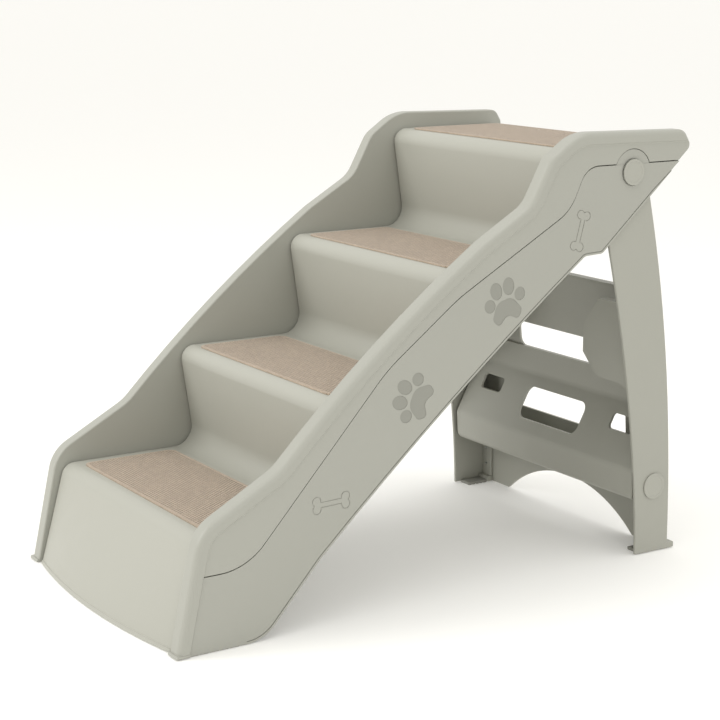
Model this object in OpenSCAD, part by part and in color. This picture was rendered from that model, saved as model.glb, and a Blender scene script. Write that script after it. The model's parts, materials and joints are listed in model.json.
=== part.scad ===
// Folding pet stairs: four moulded treads between two hollow side rails, held up by a
// rear leg frame that turns on two pins and folds forward under the treads.
// Millimetres. X runs across the stairs, Y up the climb, Z up from the floor.

/* [Overall] */
// Width over the two side panels
body_w = 380; // [300:1:470]
// Rise from one tread to the next
step_rise = 122; // [100:1:147]
// Run from one nose to the next
step_run = 152; // [126:1:183]
// Height of the first tread above the floor
first_rise = 116; // [96:1:140]
// Gap between the plastic's lower edges and the floor
floor_gap = 1; // [0.5:0.5:2]

/* [Walls] */
// Wall of the treads and risers
shell_wall = 3; // [2:0.5:4]
// Wall of the rails and side panels
rail_wall = 3; // [2:0.5:3.5]
// Width of a hollow rail from its inner face to its outer face
rail_w = 20; // [18:1:26]
// Thickness of a leg's side plate
leg_wall = 4; // [3:0.5:5]
// Air between a leg's outer face and the side panel
leg_air = 3; // [2:0.5:4]
// Wall of the rear web and the cross panel
web_wall = 3; // [2:0.5:4]

/* [Steps] */
// Radius of a rounded nose
nose_r = 16; // [10:1:20]
// Radius where a riser meets the tread below it
base_r = 24; // [12:1:26]
// How far a riser leans back between its nose and its foot
undercut = 18; // [14:1:28]
// How far the front wall bows out at the floor
front_bow = 18; // [10:1:26]
// Length of the top tread behind its nose
top_tread = 155; // [140:1:175]
// Depth of the lip at the back of the top tread
rear_lip = 14; // [8:1:16]

/* [Mats] */
// Thickness of a tread mat
mat_t = 2; // [1.5:0.5:3]
// Mat edge to rail
mat_side = 20; // [12:1:30]
// Nose line to the front edge of a mat
mat_front = 11; // [8:1:20]
// Front to back size of the three lower mats
mat_depth = 116; // [90:1:120]
// Front to back size of the top mat
top_mat_depth = 133; // [100:1:135]
// Corner radius of a mat
mat_r = 9; // [4:1:14]

/* [Hinge] */
// Hinge axis behind the top nose
hinge_back = 81; // [76:1:88]
// Hinge axis below the top tread
hinge_drop = 27; // [26:0.5:29]
// Radius of a hinge pin's shank
pin_r = 5; // [4:0.5:6]
// Radial running clearance of a leg on its pin
pin_fit = 0.05; // [0.02:0.01:0.1]
// Radius of the round pin heads
disc_r = 16; // [13:0.5:18]
// Thickness of the round pin heads
disc_t = 2; // [1.5:0.5:3]
// Radius of a leg's head
head_r = 25; // [22:1:27]

/* [Leg frame] */
// Front edge of the foot behind the hinge
foot_front = 26; // [20:1:34]
// Back edge of the foot behind the hinge
foot_back = 76; // [70:1:84]
// How much further forward a leg's front edge is at the hinge than at the foot
head_flare = 75; // [60:1:80]
// How much further forward a leg's rear edge is at the hinge than at the foot
rear_flare = 47; // [40:1:52]
// Height of the arch between the feet
arch_h = 48; // [30:1:56]
// Width of the arch at the floor
arch_w = 250; // [200:1:260]
// Width of the slot under the upper crossbar
slot_w = 200; // [150:1:220]
// Width of the hand hole in the cross panel
grip_w = 116; // [90:1:140]
// Width of a small window in the cross panel
window_w = 42; // [30:1:48]
// Width of a leg's inner wing
wing_w = 86; // [50:1:88]

/* [Fasteners] */
// Radius of a screw's shank
screw_r = 2; // [1.5:0.1:2.5]
// Radius of a screw's head
screw_head_r = 4; // [3:0.1:4.5]
// Height of a screw's head
screw_head_t = 2; // [1.5:0.1:2.5]
// Length of a screw under its head
screw_len = 9; // [7:0.5:10]

/* [Hidden] */

steps = 4;
eps = 0.01;          // sinks a cutting shape through a face
touch = 0.3;         // air between pieces of different bodies
seam_gap = 0.4;      // visible line between a rail and its side panel
round_fn = 48;

// Places across the stairs, on the right-hand side
x_out = body_w / 2;                       // outer face of a side panel
x_panel = x_out - rail_wall;              // inner face of a side panel
x_in = x_out - rail_w;                    // inner face of a rail, where the treads end
x_wall = x_in + rail_wall;                // hollow side of a rail's inner wall
x_leg = x_panel - leg_air;                // outer face of a leg
x_leg_in = x_leg - leg_wall;              // inner face of a leg
x_cross = x_leg_in - 4;                   // end of the cross panel

// Places along the climb and above the floor
nose_y = [for (i = [0:steps - 1]) 40 + i * step_run];
tread_z = [for (i = [0:steps - 1]) first_rise + i * step_rise];
top_y = nose_y[3];
top_z = tread_z[3];
tip_y = top_y + 169;                      // rear tip of a side
crest_z = top_z + 21;                     // top edge of a rail
hinge = [top_y + hinge_back, top_z - hinge_drop];
front_lean = 31;                          // nose of the first step behind its foot
edge_y = 3;                               // foot of the front wall at the rails
tread_end = top_y + top_tread;
mid_y = (tip_y + edge_y - front_bow) / 2; // half way along the whole object

// Pads and small fittings
foot_t = 6;
pad_y = 13;                               // front end of a front pad
pad_len = 58;
rear_foot_t = 4;
disc_sink = 1.2;
washer_air = 0.2;
nut_t = 1.2;
pin_end = 4;
stop_r = 5;
stop_reach = 38;
stop_angle = 132;
lug_angle = 111;
rib_h = 8;                                // depth of the treads' end ribs
lap_h = 6;                                // lip of a side panel behind the rail's outer wall
lap_t = 1.6;
boss_r = 5;
end_cap_t = 3;

// Screws between the treads' end ribs and the rails, one behind each nose
step_screw_at = [for (i = [0:steps - 1]) [nose_y[i] + 14, tread_z[i] - 15]];
// Screws between the rails and the side panels, three in the foot and one behind the hinge
panel_screw_at = [[40, 34], [92, 54], [146, 92], [hinge.x + 55, hinge.y + 7]];
// Heights of the screws between a leg and the rear web
leg_screw_z = [24, 46, 0.50 * hinge.y, 0.60 * hinge.y];

// ---- Curves ----

function unit(v) = v / norm(v);

// Points of a round corner at b, on the way from a to c
function corner(a, b, c, r, n) =
    let (u = unit(a - b), v = unit(c - b), half = acos(u * v) / 2)
    let (o = b + unit(u + v) * r / sin(half), p = b + u * r / tan(half), q = b + v * r / tan(half))
    let (from = atan2(p.y - o.y, p.x - o.x), to = atan2(q.y - o.y, q.x - o.x))
    let (turn = (to - from + 540) % 360 - 180)
    [for (i = [0:n]) o + r * [cos(from + turn * i / n), sin(from + turn * i / n)]];

function flat(p) = [p.x, p.y];

// Outline through points [y, z, radius]; a radius of 0 keeps the sharp point
function rounded(p, n = 8) =
    [for (i = [0:len(p) - 1])
        let (a = p[(i + len(p) - 1) % len(p)], b = p[i], c = p[(i + 1) % len(p)])
        each (b.z > 0 ? corner(flat(a), flat(b), flat(c), b.z, n) : [flat(b)])];

// Points between a and b on a shallow arc that rises by s in its middle, ends left out
function bowed(a, b, s, n) =
    let (d = b - a, up = unit([-d.y, d.x]))
    [for (i = [1:n - 1]) a + d * i / n + up * 4 * s * i / n * (1 - i / n)];

// ---- Outlines in the side view ----

edge_low = [nose_y[0] + 125, tread_z[0] - 39];
edge_high = [top_y + 6, top_z - 117];
crest_low = [nose_y[0] + 79, tread_z[0] + 62];
crest_high = [nose_y[2] + 28, tread_z[2] + 31];

// The whole side: front edge, crest, rear tip, notch and lower edge
side_points = rounded(concat(
    [[edge_y - 4, floor_gap, 2],
     [nose_y[0] - 13, tread_z[0] + 12, 45],
     [crest_low.x, crest_low.y, 60]],
    [for (p = bowed(crest_low, crest_high, 8, 8)) [p.x, p.y, 0]],
    [[crest_high.x, crest_high.y, 60],
     [top_y - 62, top_z - 55, 40],
     [top_y - 35, top_z - 6, 30],
     [top_y + 3, crest_z - 1, 60],
     [tip_y - 12, crest_z - 4, 12],
     [tip_y, top_z - 2, 6],
     [top_y + 52, top_z - 105, 8],
     [top_y + 40, top_z - 116, 8],
     [edge_high.x, edge_high.y, 0]],
    [for (p = bowed(edge_high, edge_low, -6, 8)) [p.x, p.y, 0]],
    [[edge_low.x, edge_low.y, 0],
     [91, floor_gap, 28]]));

// Everything above the line where a rail meets its side panel
above_seam = rounded(
    [[-60, tread_z[0] - 34, 0],
     [nose_y[0] + 40, tread_z[0] - 34, 70],
     [nose_y[1] + 58, tread_z[1] + 30, 200],
     [nose_y[2] - 4, tread_z[2] - 25, 200],
     [top_y - 7, top_z - 67, 20],
     [top_y + 15, top_z - 17, 18],
     [tip_y + 60, top_z - 17, 0],
     [tip_y + 60, top_z + 200, 0],
     [-60, top_z + 200, 0]]);

// The treads and risers seen from the side, closed far below the floor
function step_region() = rounded(concat(
    [[edge_y - front_lean * 3, -tread_z[0] * 3 + 4 * floor_gap, 0]],
    [for (i = [0:steps - 1]) each concat(
        [[nose_y[i] - 6, tread_z[i], nose_r]],
        i < steps - 1 ? [[nose_y[i + 1] - 6 + undercut, tread_z[i], base_r]] : [])],
    [[tread_end, top_z, 4],
     [tread_end, -tread_z[0] * 3, 0]]));

module side_2d() polygon(side_points);

// The rim follows the crest and the front edge, not the lower edge
module rim_mask_2d() polygon([[-60, -20], [pad_y - 0.5, -20], [pad_y - 0.5, foot_t + rail_wall],
    [nose_y[0] + 30, tread_z[0] - 20],
    [nose_y[2], tread_z[2] - 60], [top_y, top_z - 30], [tip_y + 20, top_z - 12],
    [tip_y + 20, top_z + 100], [-60, top_z + 100]]);

module rim_2d() intersection() {
    difference() {
        side_2d();
        offset(delta = -rail_wall) side_2d();
    }
    rim_mask_2d();
}

module steps_2d() polygon(step_region());

// Space above the treads, where a rail's inner wall is seen
module over_steps_2d() difference() {
    translate([-60, -20]) square([tip_y + 120, crest_z + 60]);
    translate([rib_h * 0.6, -rib_h]) steps_2d();
}

// A rail's inner wall: above the treads, down to the floor in front, and round the hinge
module inner_wall_2d() intersection() {
    side_2d();
    union() {
        over_steps_2d();
        translate([-60, -20]) square([nose_y[1] + 79, tread_z[0] + 40]);
        translate([hinge.x - 45, hinge.y - 30]) square([120, 60]);
        for (p = step_screw_at) translate(p) circle(boss_r + 3, $fn = round_fn);
    }
}

module above_seam_2d() difference() {
    polygon(above_seam);
    translate(hinge) circle(disc_r + 11, $fn = round_fn);
}

heel_y = hinge.x + foot_back + 0.5;       // back of the rear web at the floor

// A leg's edges, t running from 0 at the hinge to 1 at the floor
function leg_front_y(t) = hinge.x + foot_front - head_flare * pow(1 - t, 1.7);
function leg_back_y(t) = heel_y - rear_flare * pow(1 - t, 1.84);
function leg_z(t) = hinge.y * (1 - t);
function t_at(z) = 1 - z / hinge.y;

// A strip that follows the leg's rear edge between two heights
module rear_strip_2d(z0, z1, near, far, n = 10) polygon(concat(
    [for (i = [0:n]) let (z = z0 + (z1 - z0) * i / n) [leg_back_y(t_at(z)) - far, z]],
    [for (i = [n:-1:0]) let (z = z0 + (z1 - z0) * i / n) [leg_back_y(t_at(z)) - near, z]]));

module leg_2d() {
    t_foot = t_at(floor_gap);
    polygon(concat(
        [for (i = [0:12]) let (t = 0.17 + (t_foot - 0.17) * i / 12) [leg_front_y(t), leg_z(t)]],
        [for (i = [12:-1:0]) let (t = 0.07 + (t_foot - 0.07) * i / 12) [leg_back_y(t), leg_z(t)]],
        [for (i = [0:18]) hinge + head_r * [cos(10 * i), sin(10 * i)]]));
    stop_side = stop_reach * sin(stop_angle - lug_angle) - stop_r - touch;
    translate(hinge) rotate(lug_angle) translate([0, -stop_side]) square([stop_reach, 2 * stop_side]);
}

// ---- Placing ----

// Moves the whole model so that its middle stands over the origin
module place() translate([0, -mid_y, 0]) children();

// Turns a side-view outline into a slab between two places across the stairs
module slab(x0, x1) translate([x0, 0, 0]) rotate([90, 0, 90]) linear_extrude(x1 - x0) children();

// A rod along X, centred on a point of the side view
module rod(p, x0, x1, r) translate([x0, p.x, p.y]) rotate([0, 90, 0])
    cylinder(h = x1 - x0, r = r, $fn = round_fn);

module on_side(side) mirror([side < 0 ? 1 : 0, 0, 0]) children();

module screw(p, x_head, dir) {
    x0 = dir > 0 ? x_head - screw_head_t : x_head;
    x1 = dir > 0 ? x_head : x_head - screw_len;
    rod(p, x0, x0 + screw_head_t, screw_head_r);
    rod(p, x1, x1 + screw_len, screw_r);
}

// ---- Stairs ----

module front_wedge(inset) hull() {
    translate([inset - x_in, nose_y[0] - 6 - 7 + inset, tread_z[0] - 28 - inset])
        cube([2 * (x_in - inset), 6, 0.1]);
    translate([0, 0, floor_gap - (inset > 0 ? 1 : 0)]) linear_extrude(0.1)
        polygon(concat(
            [for (i = [-8:8]) [(x_in - inset) * i / 8, edge_y + inset - front_bow * (1 - pow(i / 8, 2))]],
            [[x_in - inset, edge_y + 8], [inset - x_in, edge_y + 8]]));
}

module step_band_2d(t) difference() {
    steps_2d();
    offset(delta = -t) steps_2d();
}

module step_shell() color("#c2c2b4") place() {
    difference() {
        union() {
            slab(-x_in, x_in) intersection() {
                step_band_2d(shell_wall);
                union() {
                    translate([-60, tread_z[0] - 29]) square([tread_end + 60 - 12, top_z]);
                    translate([tread_end - 20, top_z - rear_lip]) square([40, rear_lip + 10]);
                }
            }
            for (side = [-1, 1]) on_side(side) slab(x_in - 4, x_in) intersection() {
                union() {
                    step_band_2d(shell_wall);
                    intersection() {
                        offset(delta = -1) side_2d();
                        steps_2d();
                        union() {
                            step_band_2d(rib_h);
                            for (p = step_screw_at) translate(p) circle(boss_r + 3, $fn = round_fn);
                        }
                    }
                }
                translate([-60, floor_gap]) square([tread_end + 60, top_z]);
                union() {
                    translate([-60, -20]) square([tread_end + 60 - 12, top_z + 60]);
                    translate([tread_end - 20, top_z - rear_lip]) square([40, rear_lip + 10]);
                }
            }
            difference() {
                front_wedge(0);
                translate([0, 0, -eps]) front_wedge(shell_wall);
            }
            for (side = [-1, 1]) on_side(side) for (p = step_screw_at)
                rod(p, x_in - 11, x_in - 3, boss_r);
        }
        for (side = [-1, 1]) on_side(side) for (p = step_screw_at)
            rod(p, x_in - 10, x_in + eps, screw_r);
    }
}

module rail(side) color("#b3b4a6") place() on_side(side) difference() {
    union() {
        slab(x_in, x_wall) inner_wall_2d();
        slab(x_wall - eps, x_panel + eps) rim_2d();
        slab(x_panel, x_out) intersection() {
            side_2d();
            offset(delta = -seam_gap / 2) above_seam_2d();
        }
        slab(x_in, x_panel - 0.2) intersection() {
            offset(delta = -rail_wall) side_2d();
            translate([0, foot_t]) square([pad_y + pad_len + 3, rail_wall]);
        }
        rod(hinge + stop_reach * [cos(stop_angle), sin(stop_angle)], x_wall - eps, x_panel + eps, stop_r);
    }
    rod(hinge, x_in - 1, x_wall + 1, pin_r);
    for (p = step_screw_at) rod(p, x_in - 1, x_wall + 1, screw_r);
    for (p = panel_screw_at) rod(p, x_in - 1, x_wall + 1, screw_r);
}

module side_panel(side) color("#afb0a3") place() on_side(side) difference() {
    union() {
        slab(x_panel, x_out) difference() {
            side_2d();
            offset(delta = seam_gap / 2) above_seam_2d();
        }
        slab(x_panel - lap_t, x_panel) intersection() {
            offset(delta = -rail_wall - 1.5) side_2d();
            difference() {
                translate([0, lap_h]) difference() {
                    square([tip_y, crest_z + 20]);
                    polygon(above_seam);
                }
                difference() {
                    square([tip_y, crest_z + 20]);
                    translate([0, -lap_h]) polygon(above_seam);
                }
                translate([pad_y - 3, 0]) square([pad_len + 18, foot_t + 6]);
                translate(hinge) circle(head_r + 18, $fn = round_fn);
            }
        }
        for (p = panel_screw_at) rod(p, x_wall, x_panel + eps, boss_r - 0.5);
    }
    rod(hinge, x_panel - 1, x_out + 1, pin_r);
    rod(hinge, x_out - disc_sink, x_out + 1, disc_r + 0.5);
    for (p = panel_screw_at) rod(p, x_wall - 1, x_panel - 0.8, screw_r);
}

module tread_mat(i) color("#bca68f") place() {
    depth = i == steps ? top_mat_depth : mat_depth;
    w = x_in - mat_side - mat_r;
    y0 = nose_y[i - 1] + mat_front + mat_r;
    translate([0, 0, tread_z[i - 1]]) linear_extrude(mat_t) hull()
        for (x = [-w, w], y = [y0, y0 + depth - 2 * mat_r]) translate([x, y]) circle(mat_r, $fn = 32);
}

module hinge_pin(side) color("#a6a79a") place() on_side(side) {
    rod(hinge, x_in - pin_end, x_out - disc_sink + eps, pin_r);
    rod(hinge, x_out - disc_sink, x_out - disc_sink + disc_t, disc_r);
}

module ring(p, x0, x1, r_out, r_in) difference() {
    rod(p, x0, x1, r_out);
    rod(p, x0 - 1, x1 + 1, r_in);
}

module hinge_washer(side) color("#e4e2da") place() on_side(side)
    ring(hinge, x_leg + washer_air, x_panel, pin_r + 6, pin_r);

module pin_nut(side) color("#8f9296") place() on_side(side)
    ring(hinge, x_in - nut_t, x_in, pin_r + 4, pin_r);

module step_screws() color("#8f9296") place()
    for (side = [-1, 1]) on_side(side) for (p = step_screw_at) screw(p, x_wall + screw_head_t, 1);

module side_panel_screws() color("#8f9296") place()
    for (side = [-1, 1]) on_side(side) for (p = panel_screw_at) {
        rod(p, x_in - screw_head_t, x_in, screw_head_r);
        rod(p, x_in - eps, x_in + screw_len, screw_r);
    }

module front_foot(side) color("#4b4b46") place() on_side(side)
    translate([x_wall + 0.2, pad_y, 0]) cube([x_panel - x_wall - 0.4, pad_len, foot_t]);

// ---- Leg frame ----

wing_y = hinge.x + 13;
wing_low = 0.455 * hinge.y;
wing_high = 0.66 * hinge.y;
web_high = 0.688 * hinge.y;
slot_low = 0.446 * hinge.y;
slot_high = 0.515 * hinge.y;
back_low = 0.262 * hinge.y;
back_high = 0.396 * hinge.y;
cross_pin = [hinge.x + foot_front + 25, 82];
tab_w = 20;

function web_back_y(z) = leg_back_y(t_at(z));

module leg(side) color("#aeafa2") place() on_side(side) difference() {
    union() {
        slab(x_leg_in, x_leg) leg_2d();
        slab(x_leg_in - wing_w, x_leg_in + leg_wall / 2) polygon(rounded(
            [[wing_y, wing_low, 1], [wing_y + web_wall, wing_low, 1],
             [wing_y + web_wall, wing_high - web_wall, 1], [wing_y + 14, wing_high - web_wall, 1],
             [wing_y + 14, wing_high, 1], [wing_y, wing_high, 3]], 3));
        slab(x_leg_in - tab_w, x_leg_in + leg_wall / 2) {
            rear_strip_2d(rear_foot_t + 4, leg_screw_z[1] + 10, 2 * web_wall, web_wall, 1);
            rear_strip_2d(slot_low + 10, wing_high - 12, 2 * web_wall, web_wall, 1);
        }
        slab(x_leg_in - tab_w, x_leg_in + leg_wall / 2) translate([hinge.x + foot_front + 6, rear_foot_t])
            square([foot_back - foot_front - 14, 3]);
        slab(x_leg_in - tab_w, x_leg) translate([heel_y, floor_gap]) square([9.5, 7]);
        slab(x_leg_in, x_leg) translate([heel_y - 3, floor_gap]) square([5, 7]);
        rod(hinge, x_wall + touch, x_leg_in + leg_wall / 2, pin_r + 7);
        rod(cross_pin, x_cross, x_leg_in + leg_wall / 2, pin_r + 5);
    }
    rod(hinge, x_wall - 1, x_leg + 1, pin_r + pin_fit);
    rod(cross_pin, x_cross - 1, x_leg + 1, 4);
    // The wing's lower inner corner flares into the leg
    translate([x_leg_in - wing_w, wing_y - 5, wing_low]) rotate([-90, 0, 0])
        cylinder(h = 12, r = 26, $fn = round_fn);
    for (z = leg_screw_z) leg_screw_hole(z);
}

module leg_screw_hole(z) translate([x_leg_in - tab_w / 2, web_back_y(z) + 1, z]) rotate([90, 0, 0])
    cylinder(h = 14, r = screw_r, $fn = 24);

module web_window(w, z0, z1, r) translate([0, hinge.x + foot_back + 30, 0]) rotate([90, 0, 0])
    linear_extrude(120) polygon(rounded([[-w / 2, z0, r], [w / 2, z0, r], [w / 2, z1, r], [-w / 2, z1, r]]));

module rear_web() color("#a5a698") place() difference() {
    slab(-x_leg_in, x_leg_in) {
        rear_strip_2d(floor_gap, web_high, web_wall, 0, 16);
        translate([web_back_y(web_high) - 12, web_high - web_wall]) square([12, web_wall]);
    }
    arch_r = (pow(arch_w / 2, 2) + pow(arch_h, 2)) / (2 * arch_h);
    translate([0, hinge.x + foot_back + 20, arch_h - arch_r]) rotate([90, 0, 0])
        cylinder(h = 60, r = arch_r, $fn = 96);
    web_window(slot_w, slot_low, slot_high, 10);
    web_window(slot_w + 20, back_low, back_high, 10);
    for (side = [-1, 1]) on_side(side) for (z = leg_screw_z) leg_screw_hole(z);
}

grip_z = 0.301 * hinge.y;                 // middle of the hand hole
grip_h = 38;
window_h = 18;
window_gap = 50;                          // hand hole to a small window
cross_front = hinge.x + foot_front - 2;
cross_top = web_back_y(slot_low) - 2 * web_wall;

// Outline of the solid that the cross panel wraps round
cross_points = rounded(
    [[cross_front + 20, 62, 0], [cross_front + 2, 66, 8], [cross_front, 102, 14],
     [cross_top, 0.376 * hinge.y, 16], [cross_top, slot_low, 0],
     [cross_top + web_wall, slot_low, 0], [cross_top + web_wall, 62, 0]]);

module cross_solid_2d() polygon(cross_points);

module cross_panel() color("#b0b1a4") place() difference() {
    union() {
        slab(-x_cross, x_cross) intersection() {
            difference() {
                cross_solid_2d();
                offset(delta = -web_wall) cross_solid_2d();
            }
            union() {
                translate([cross_front - 10, 0]) square([22, 110]);
                translate([cross_front - 10, 90]) square([60, hinge.y]);
            }
        }
        for (side = [-1, 1]) on_side(side) slab(x_cross - end_cap_t, x_cross) cross_solid_2d();
    }
    for (x = [-1, 1]) translate([x * (grip_w / 2 + window_gap + window_w / 2), 0, 0])
        web_window(window_w, grip_z, grip_z + window_h, 4);
    web_window(grip_w, grip_z - grip_h / 2, grip_z + grip_h / 2, 11);
    // The back of the hollow panel is open
    translate([4 - x_cross, cross_top - 1, 50])
        cube([2 * x_cross - 8, 2 * web_wall + 4, back_high - 50]);
    for (side = [-1, 1]) on_side(side) rod(cross_pin, x_cross - 4, x_cross + 1, 4);
}

module cross_pin_part(side) color("#a6a79a") place() on_side(side) {
    rod(cross_pin, x_cross - end_cap_t - 3, x_leg + eps, 4);
    rod(cross_pin, x_leg, x_leg + disc_t, disc_r);
}

module leg_screws() color("#8f9296") place()
    for (side = [-1, 1]) on_side(side) for (z = leg_screw_z)
        translate([x_leg_in - tab_w / 2, web_back_y(z - screw_head_r), z]) rotate([90, 0, 0]) {
            translate([0, 0, -screw_head_t]) cylinder(h = screw_head_t, r = screw_head_r, $fn = 24);
            cylinder(h = screw_len, r = screw_r, $fn = 24);
        }

module rear_foot(side) color("#4b4b46") place() on_side(side)
    translate([x_leg_in - tab_w + 1, hinge.x + foot_front + 8, 0])
        cube([tab_w - 2, foot_back - foot_front - 20, rear_foot_t]);

step_shell();
rail(1);  // right_rail
rail(-1);  // left_rail
side_panel(1);  // right_side_panel
side_panel(-1);  // left_side_panel
tread_mat(1);  // tread_mat_1
tread_mat(2);  // tread_mat_2
tread_mat(3);  // tread_mat_3
tread_mat(4);  // tread_mat_4
hinge_pin(1);  // right_hinge_pin
hinge_pin(-1);  // left_hinge_pin
hinge_washer(1);  // right_hinge_washer
hinge_washer(-1);  // left_hinge_washer
pin_nut(1);  // right_pin_nut
pin_nut(-1);  // left_pin_nut
step_screws();
side_panel_screws();
front_foot(1);  // right_front_foot
front_foot(-1);  // left_front_foot
leg(1);  // right_leg
leg(-1);  // left_leg
rear_web();
cross_panel();
cross_pin_part(1);  // right_cross_pin
cross_pin_part(-1);  // left_cross_pin
leg_screws();
rear_foot(1);  // right_rear_foot
rear_foot(-1);  // left_rear_foot
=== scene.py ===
import json
import math

import bmesh
import bpy
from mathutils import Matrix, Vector


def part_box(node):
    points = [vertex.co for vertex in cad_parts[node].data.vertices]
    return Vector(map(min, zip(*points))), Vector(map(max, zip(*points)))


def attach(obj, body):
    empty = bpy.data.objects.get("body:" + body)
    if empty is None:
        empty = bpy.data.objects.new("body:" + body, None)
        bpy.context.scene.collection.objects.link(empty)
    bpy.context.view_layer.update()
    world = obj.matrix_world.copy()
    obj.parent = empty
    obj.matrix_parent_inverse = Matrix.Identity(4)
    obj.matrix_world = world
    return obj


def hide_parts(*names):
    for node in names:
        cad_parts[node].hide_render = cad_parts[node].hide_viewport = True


# Folding pet stairs: four moulded treads, two hollow side rails, a folding leg frame.
# Metres. X runs across the stairs, Y up the climb, Z up from the floor.
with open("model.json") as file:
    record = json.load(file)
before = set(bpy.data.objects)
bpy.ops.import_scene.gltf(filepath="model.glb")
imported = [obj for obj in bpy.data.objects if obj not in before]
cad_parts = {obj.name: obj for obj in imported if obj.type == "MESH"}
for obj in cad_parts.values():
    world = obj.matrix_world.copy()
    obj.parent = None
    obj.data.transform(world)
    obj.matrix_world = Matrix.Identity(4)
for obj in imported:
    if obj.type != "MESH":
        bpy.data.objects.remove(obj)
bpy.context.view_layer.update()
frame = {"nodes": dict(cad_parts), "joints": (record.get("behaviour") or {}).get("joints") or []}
print("frame loaded")

stair = {
    "wall": 0.003,          # wall of the moulded plastic
    "matFront": 0.011,      # nose line to the front edge of a mat
    "undercut": 0.018,      # how far a riser leans back
    "noseRadius": 0.016,
    "baseRadius": 0.024,
    "frontBow": 0.0165,     # how far the front wall bows out at the floor
    "floorGap": 0.001,
    "rimOuter": 0.0066,     # rounding of a rail's rim, outer side
    "rimInner": 0.0020,     # and inner side
    "rimBand": 0.0125,      # width of the raised band along the rim
    "bandStep": 0.0019,     # how far the face beside that band lies back
    "seamGap": 0.0012,
    "capSeat": 0.0262,      # radius of the round recess for a hinge cap
    "stopReach": 0.038,     # hinge to the post that stops the leg frame
    "postRadius": 0.005,
    "pinBore": 0.00505,
}
cutPast = 0.01              # how far a cutter reaches past what it cuts
faceCut = 0.001             # the same beside an open face
overlap = 0.0002            # how far joined solids run into each other
underFloor = -0.05

# Places read from the frame
hinge = next(joint for joint in frame["joints"] if joint["name"] == "leg_fold")["pos_m"]
hingeY, hingeZ = hingePlace = (hinge[1], hinge[2])
matBoxes = [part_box("tread_mat_%d" % number) for number in (1, 2, 3, 4)]
noseY = [low.y - stair["matFront"] for low, high in matBoxes]
treadZ = [low.z for low, high in matBoxes]
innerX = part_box("step_shell")[1].x          # inner face of a rail
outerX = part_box("right_side_panel")[1].x    # outer face of a side panel
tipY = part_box("right_rail")[1].y + 0.0018   # sharp point behind the rounded rear tip
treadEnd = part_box("step_shell")[1].y
frontY = noseY[0] - 0.037                   # foot of the front wall at the rails
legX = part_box("right_leg")[1].x             # outer face of a leg
legInnerX = legX - 0.004
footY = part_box("rear_web")[1].y             # back of the rear web at the floor
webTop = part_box("rear_web")[1].z
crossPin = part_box("right_cross_pin")
crossPlace = ((crossPin[0].y + crossPin[1].y) / 2, (crossPin[0].z + crossPin[1].z) / 2)
topY, topZ = noseY[3], treadZ[3]
crestZ = topZ + 0.021
sideFront = frontY - 0.0037                 # front foot of a side
seamFront = treadZ[0] - 0.034               # height where the seam starts
behindTip = tipY + 0.06


# ---- flat outlines, as (y, z) pairs

def roundCorner(before, point, after, radius, count):
    inward, onward = (before - point).normalized(), (after - point).normalized()
    half = inward.angle(onward) / 2
    centre = point + (inward + onward).normalized() * radius / math.sin(half)
    start = point + inward * radius / math.tan(half) - centre
    end = point + onward * radius / math.tan(half) - centre
    first = math.atan2(start.y, start.x)
    turn = (math.atan2(end.y, end.x) - first + 3 * math.pi) % (2 * math.pi) - math.pi
    angles = [first + turn * step / count for step in range(count + 1)]
    return [centre + Vector((math.cos(angle), math.sin(angle))) * radius for angle in angles]


def smoothOutline(points, count=10, closed=True):
    places = [Vector(point[:2]) for point in points]
    made = []
    for index, point in enumerate(points):
        radius = point[2] if len(point) > 2 else 0
        inside = closed or 0 < index < len(points) - 1
        if radius and inside:
            following = places[(index + 1) % len(places)]
            made += roundCorner(places[index - 1], places[index], following, radius, count)
        else:
            made.append(places[index])
    return made


def bowLine(start, end, rise, count):
    along = Vector(end) - Vector(start)
    up = Vector((-along.y, along.x)).normalized()
    return [Vector(start) + along * step / count + up * 4 * rise * step / count * (1 - step / count)
            for step in range(1, count)]


def shiftLine(points, distance):
    # moves an open line sideways, to the right of its own direction
    moved = []
    for index, point in enumerate(points):
        before = points[max(index - 1, 0)]
        after = points[min(index + 1, len(points) - 1)]
        along = (after - before).normalized()
        moved.append(point + Vector((along.y, -along.x)) * distance)
    return moved


def shiftLoop(points, distance):
    # grows a closed outline outwards, or shrinks it where the distance is negative
    area = sum(points[index - 1].x * point.y - point.x * points[index - 1].y
               for index, point in enumerate(points))
    facing = 1 if area > 0 else -1
    moved = []
    for index, point in enumerate(points):
        along = (points[(index + 1) % len(points)] - points[index - 1]).normalized()
        moved.append(point + Vector((along.y, -along.x)) * distance * facing)
    return moved


def windowOutline(left, right, low, high, radius=0):
    return smoothOutline([(left, low, radius), (right, low, radius),
                          (right, high, radius), (left, high, radius)], 8)


def onCircle(centre, radius, degrees):
    return (centre[0] + radius * math.cos(math.radians(degrees)),
            centre[1] + radius * math.sin(math.radians(degrees)))


def turned(place, centre, turn):
    # a place drawn about nought, turned and moved to its centre
    y, z = place
    return (centre[0] + y * math.cos(turn) - z * math.sin(turn),
            centre[1] + y * math.sin(turn) + z * math.cos(turn))


# Corners of a side: (y, z) or (y, z, rounding)
crestLow = (noseY[0] + 0.079, treadZ[0] + 0.062)
crestHigh = (noseY[2] + 0.028, treadZ[2] + 0.031)
edgeLow = (noseY[0] + 0.128, treadZ[0] - 0.039)
edgeHigh = (topY + 0.0155, topZ - 0.1165)
tipLow = (tipY - 0.0545, topZ - 0.050)      # where the rear edge leaves the tip

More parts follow.
